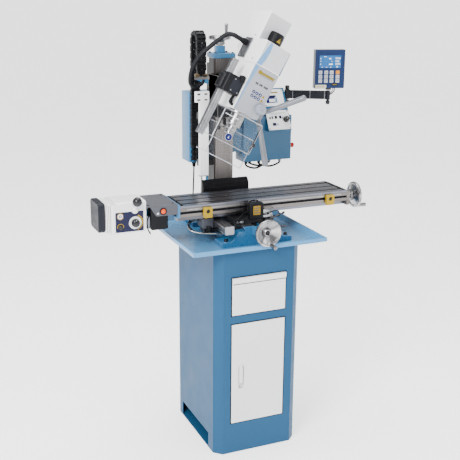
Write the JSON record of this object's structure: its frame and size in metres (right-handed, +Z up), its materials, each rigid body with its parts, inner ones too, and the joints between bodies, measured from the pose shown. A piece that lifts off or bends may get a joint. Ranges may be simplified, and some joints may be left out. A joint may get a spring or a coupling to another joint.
{
  "type": "benchtop milling machine",
  "caption": "Dovetail-column milling machine with a tilting head, cross table with power feed and chip guard, standing on a floor cabinet with a drawer and a door.",
  "frame": {"origin": "centre of the cabinet's footprint, on the floor", "axes": "+X to the operator's right, +Y towards the back, +Z up"},
  "size_m": [1.288, 0.73, 1.8727],
  "materials": {
    "blue_paint": "satin enamel",
    "light_blue_paint": "satin enamel",
    "white_paint": "satin enamel",
    "grey_paint": "satin enamel",
    "ground_iron": "ground",
    "cast_iron_blue": "satin enamel over casting",
    "cast_iron_white": "satin enamel over casting",
    "dark_iron": "oiled casting",
    "steel": "turned",
    "aluminium": "turned and polished",
    "handle_grey": "satin",
    "black_plastic": "matt",
    "rubber": "matt",
    "yellow": "satin",
    "orange": "gloss",
    "red": "gloss",
    "clear_plastic": "clear",
    "armour": "spiral wound"
  },
  "bodies": {
    "stand": {"cabinet_shell": "blue_paint", "chip_tray": "light_blue_paint", "base_casting": "cast_iron_blue", "y_bearing_housing": "cast_iron_blue", "column": "ground_iron", "column_top_plate": "light_blue_paint", "z_scale_cover": "white_paint", "way_cover": "rubber", "y_reading_head": "grey_paint", "armoured_cable": "armour", "drag_chain": "black_plastic", "rear_electrical_box": "light_blue_paint", "box_gland": "black_plastic", "machine_lead": "rubber", "control_box": "blue_paint", "control_box_bracket": "blue_paint", "console": "blue_paint"},
    "drawer": {"drawer": "white_paint"},
    "door": {"door_panel": "white_paint", "door_handle": "white_paint"},
    "saddle": {"saddle": "dark_iron", "limit_block": "black_plastic", "y_scale_bar": "aluminium"},
    "y_feed": {"y_leadscrew": "steel", "y_handwheel": "aluminium"},
    "table": {"table": "ground_iron", "table_left_plate": "light_blue_paint", "table_right_bracket": "ground_iron", "feed_housing": "white_paint", "feed_end_cap": "grey_paint", "feed_cover_plate": "grey_paint", "feed_switch_box": "black_plastic"},
    "x_feed": {"x_leadscrew": "steel", "x_handwheel": "aluminium"},
    "stop_left": {"table_stop_left": "yellow"},
    "stop_right": {"table_stop_right": "yellow"},
    "feed_speed_knob": {"feed_speed_knob": "black_plastic"},
    "feed_lever": {"feed_lever": "black_plastic"},
    "feed_button": {"feed_button": "orange"},
    "carriage": {"z_carriage": "ground_iron", "head_hose": "rubber"},
    "z_feed": {"z_leadscrew": "steel", "z_handwheel": "aluminium"},
    "head": {"head_body": "cast_iron_white", "spindle_cap": "black_plastic", "motor_cover": "white_paint", "spindle_motor": "dark_iron", "hose_plate": "grey_paint", "guard_switch": "black_plastic"},
    "guard": {"guard_rail": "aluminium", "guard_shield": "clear_plastic"},
    "guard_slider": {"guard_slider": "clear_plastic"},
    "clutch_knob": {"feed_clutch_knob": "handle_grey"},
    "capstan": {"quill_capstan": "handle_grey"},
    "quill": {"quill": "steel"},
    "spindle": {"spindle": "steel"},
    "dro_arm": {"dro_arm": "grey_paint"},
    "dro_display": {"dro_display": "grey_paint"},
    "speed_dial": {"speed_dial": "black_plastic"},
    "stop_button": {"stop_button": "red"}
  },
  "joints": [
    {"name": "drawer_slide", "type": "slide", "parent": "stand", "child": "drawer", "axis": [0, -1, 0], "range_m": [0, 0.3]},
    {"name": "door_hinge", "type": "hinge", "parent": "stand", "child": "door", "pos_m": [0.116, -0.238, 0.374], "axis": [0, 0, 1], "range_deg": [0, 105]},
    {"name": "y_slide", "type": "slide", "parent": "stand", "child": "saddle", "axis": [0, 1, 0], "range_m": [-0.075, 0.06]},
    {"name": "y_wheel_turn", "type": "hinge", "parent": "stand", "child": "y_feed", "pos_m": [0.02, -0.276, 0.9985], "axis": [0, 1, 0], "continuous": true},
    {"name": "x_slide", "type": "slide", "parent": "saddle", "child": "table", "axis": [1, 0, 0], "range_m": [-0.275, 0.12]},
    {"name": "x_wheel_turn", "type": "hinge", "parent": "table", "child": "x_feed", "pos_m": [0.59, 0, 1.0475], "axis": [1, 0, 0], "continuous": true},
    {"name": "stop_left_slide", "type": "slide", "parent": "table", "child": "stop_left", "axis": [1, 0, 0], "range_m": [-0.08, 0.08]},
    {"name": "stop_right_slide", "type": "slide", "parent": "table", "child": "stop_right", "axis": [1, 0, 0], "range_m": [-0.08, 0.06]},
    {"name": "speed_knob_turn", "type": "hinge", "parent": "table", "child": "feed_speed_knob", "pos_m": [-0.492, -0.1005, 1.052], "axis": [0, -1, 0], "range_deg": [-135, 135]},
    {"name": "feed_lever_turn", "type": "hinge", "parent": "table", "child": "feed_lever", "pos_m": [-0.492, -0.1003, 1.102], "axis": [0, -1, 0], "range_deg": [-35, 35]},
    {"name": "feed_button_press", "type": "slide", "parent": "table", "child": "feed_button", "axis": [0, 1, 0], "range_m": [0, 0.0025], "stiffness_N_per_m": 400},
    {"name": "z_slide", "type": "slide", "parent": "stand", "child": "carriage", "axis": [0, 0, 1], "range_m": [-0.1, 0.05], "deforming": ["drag_chain"]},
    {"name": "z_wheel_turn", "type": "hinge", "parent": "stand", "child": "z_feed", "pos_m": [0.02, 0.248, 1.75], "axis": [0, 0, 1], "continuous": true},
    {"name": "head_tilt", "type": "hinge", "parent": "carriage", "child": "head", "pos_m": [0.02, 0, 1.52], "axis": [0, 1, 0], "range_deg": [-73.5, 31.5], "deforming": ["head_hose"]},
    {"name": "guard_swing", "type": "hinge", "parent": "head", "child": "guard", "pos_m": [-0.08546, -0.0325, 1.57726], "axis": [-0.4772, 0, -0.8788], "range_deg": [0, 100]},
    {"name": "guard_slide", "type": "slide", "parent": "guard", "child": "guard_slider", "axis": [0.4772, 0, 0.8788], "range_m": [0, 0.06]},
    {"name": "clutch_knob_turn", "type": "hinge", "parent": "head", "child": "clutch_knob", "pos_m": [0.05359, -0.1003, 1.48128], "axis": [0, -1, 0], "range_deg": [0, 90]},
    {"name": "capstan_turn", "type": "hinge", "parent": "head", "child": "capstan", "pos_m": [0.05659, -0.03, 1.45746], "axis": [0.8788, 0, -0.4772], "range_deg": [0, 201]},
    {"name": "quill_slide", "type": "slide", "parent": "head", "child": "quill", "axis": [-0.4772, 0, -0.8788], "range_m": [0, 0.07]},
    {"name": "spindle_turn", "type": "hinge", "parent": "quill", "child": "spindle", "pos_m": [0.02, -0.04, 1.52], "axis": [0.4772, 0, 0.8788], "continuous": true},
    {"name": "dro_arm_swing", "type": "hinge", "parent": "stand", "child": "dro_arm", "pos_m": [0.366, 0.264, 1.49], "axis": [0, 0, 1], "range_deg": [-25, 35]},
    {"name": "dro_display_swing", "type": "hinge", "parent": "dro_arm", "child": "dro_display", "pos_m": [0.52606, 0.16524, 1.5123], "axis": [0, 0, 1], "range_deg": [-60, 60]},
    {"name": "speed_dial_turn", "type": "hinge", "parent": "stand", "child": "speed_dial", "pos_m": [0.331, 0.2014, 1.3784], "axis": [0, -0.8847, 0.4662], "range_deg": [-135, 135]},
    {"name": "stop_button_press", "type": "slide", "parent": "stand", "child": "stop_button", "axis": [-1, 0, 0], "range_m": [0, 0.0035], "stiffness_N_per_m": 500}
  ],
  "couplings": [
    {"joint": "capstan_turn", "follows": "quill_slide", "rad_per_m": 50},
    {"joint": "y_wheel_turn", "follows": "y_slide", "rad_per_m": -1256.6},
    {"joint": "x_wheel_turn", "follows": "x_slide", "rad_per_m": 1256.6},
    {"joint": "z_wheel_turn", "follows": "z_slide", "rad_per_m": -1256.6}
  ]
}
